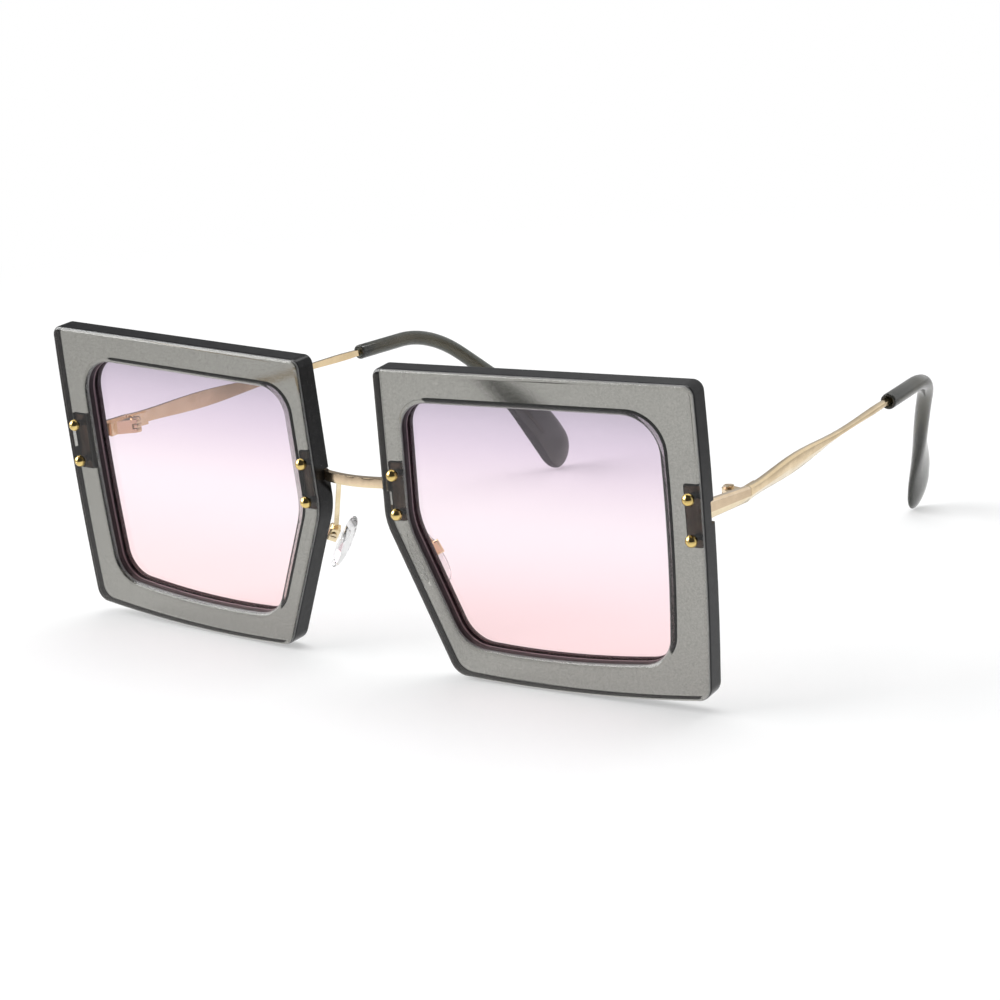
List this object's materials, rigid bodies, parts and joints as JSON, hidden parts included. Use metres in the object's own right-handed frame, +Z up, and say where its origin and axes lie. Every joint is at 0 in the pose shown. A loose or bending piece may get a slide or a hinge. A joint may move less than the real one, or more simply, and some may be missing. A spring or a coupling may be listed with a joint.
{
  "type": "oversized sunglasses",
  "caption": "Oversized square sunglasses with thick clear grey rims, gradient lenses, a riveted gold bridge and folding gold temples.",
  "frame": {"origin": "on the table under the middle of the open glasses", "axes": "+Z up, the lenses face -Y and the temples run back along +Y, +X is the wearer's left"},
  "size_m": [0.1504, 0.1492, 0.0617],
  "materials": {
    "smoke_plastic": "polished clear grey acetate",
    "gradient_lens": "clear, tinted lilac at the top and pink at the foot",
    "gold_metal": "pale gold plate, lightly brushed",
    "screw_metal": "plated",
    "tip_plastic": "polished smoky grey",
    "core_plastic": "clear",
    "clear_silicone": "clear and soft"
  },
  "bodies": {
    "front": {"bridge": "gold_metal", "bridge_rivets": "gold_metal", "left_rim": "smoke_plastic", "right_rim": "smoke_plastic", "left_lens": "gradient_lens", "right_lens": "gradient_lens", "left_end_piece": "gold_metal", "right_end_piece": "gold_metal", "left_end_rivets": "gold_metal", "right_end_rivets": "gold_metal", "left_front_hinge_leaf": "gold_metal", "right_front_hinge_leaf": "gold_metal", "left_hinge_screw": "screw_metal", "right_hinge_screw": "screw_metal", "left_pad_arm": "gold_metal", "right_pad_arm": "gold_metal", "left_pad_box": "gold_metal", "right_pad_box": "gold_metal", "left_pad_screw": "screw_metal", "right_pad_screw": "screw_metal"},
    "left_temple": {"left_temple": "gold_metal", "left_temple_tip": "tip_plastic", "left_temple_hinge_leaf": "gold_metal"},
    "left_pad": {"left_nose_pad": "clear_silicone", "left_pad_core": "core_plastic"},
    "right_temple": {"right_temple": "gold_metal", "right_temple_tip": "tip_plastic", "right_temple_hinge_leaf": "gold_metal"},
    "right_pad": {"right_nose_pad": "clear_silicone", "right_pad_core": "core_plastic"}
  },
  "joints": [
    {"name": "left_temple_fold", "type": "hinge", "parent": "front", "child": "left_temple", "pos_m": [0.07091, -0.05252, 0.03708], "axis": [0, 0, 1], "range_deg": [0, 82]},
    {"name": "right_temple_fold", "type": "hinge", "parent": "front", "child": "right_temple", "pos_m": [-0.07091, -0.05252, 0.03708], "axis": [0, 0, -1], "range_deg": [0, 72]},
    {"name": "left_pad_rock", "type": "hinge", "parent": "front", "child": "left_pad", "pos_m": [0.0125, -0.06263, 0.02301], "axis": [-0.5134, -0.7864, -0.3435], "range_deg": [-8, 8]},
    {"name": "right_pad_rock", "type": "hinge", "parent": "front", "child": "right_pad", "pos_m": [-0.0125, -0.06263, 0.02301], "axis": [-0.5134, 0.7864, 0.3435], "range_deg": [-8, 8]}
  ]
}
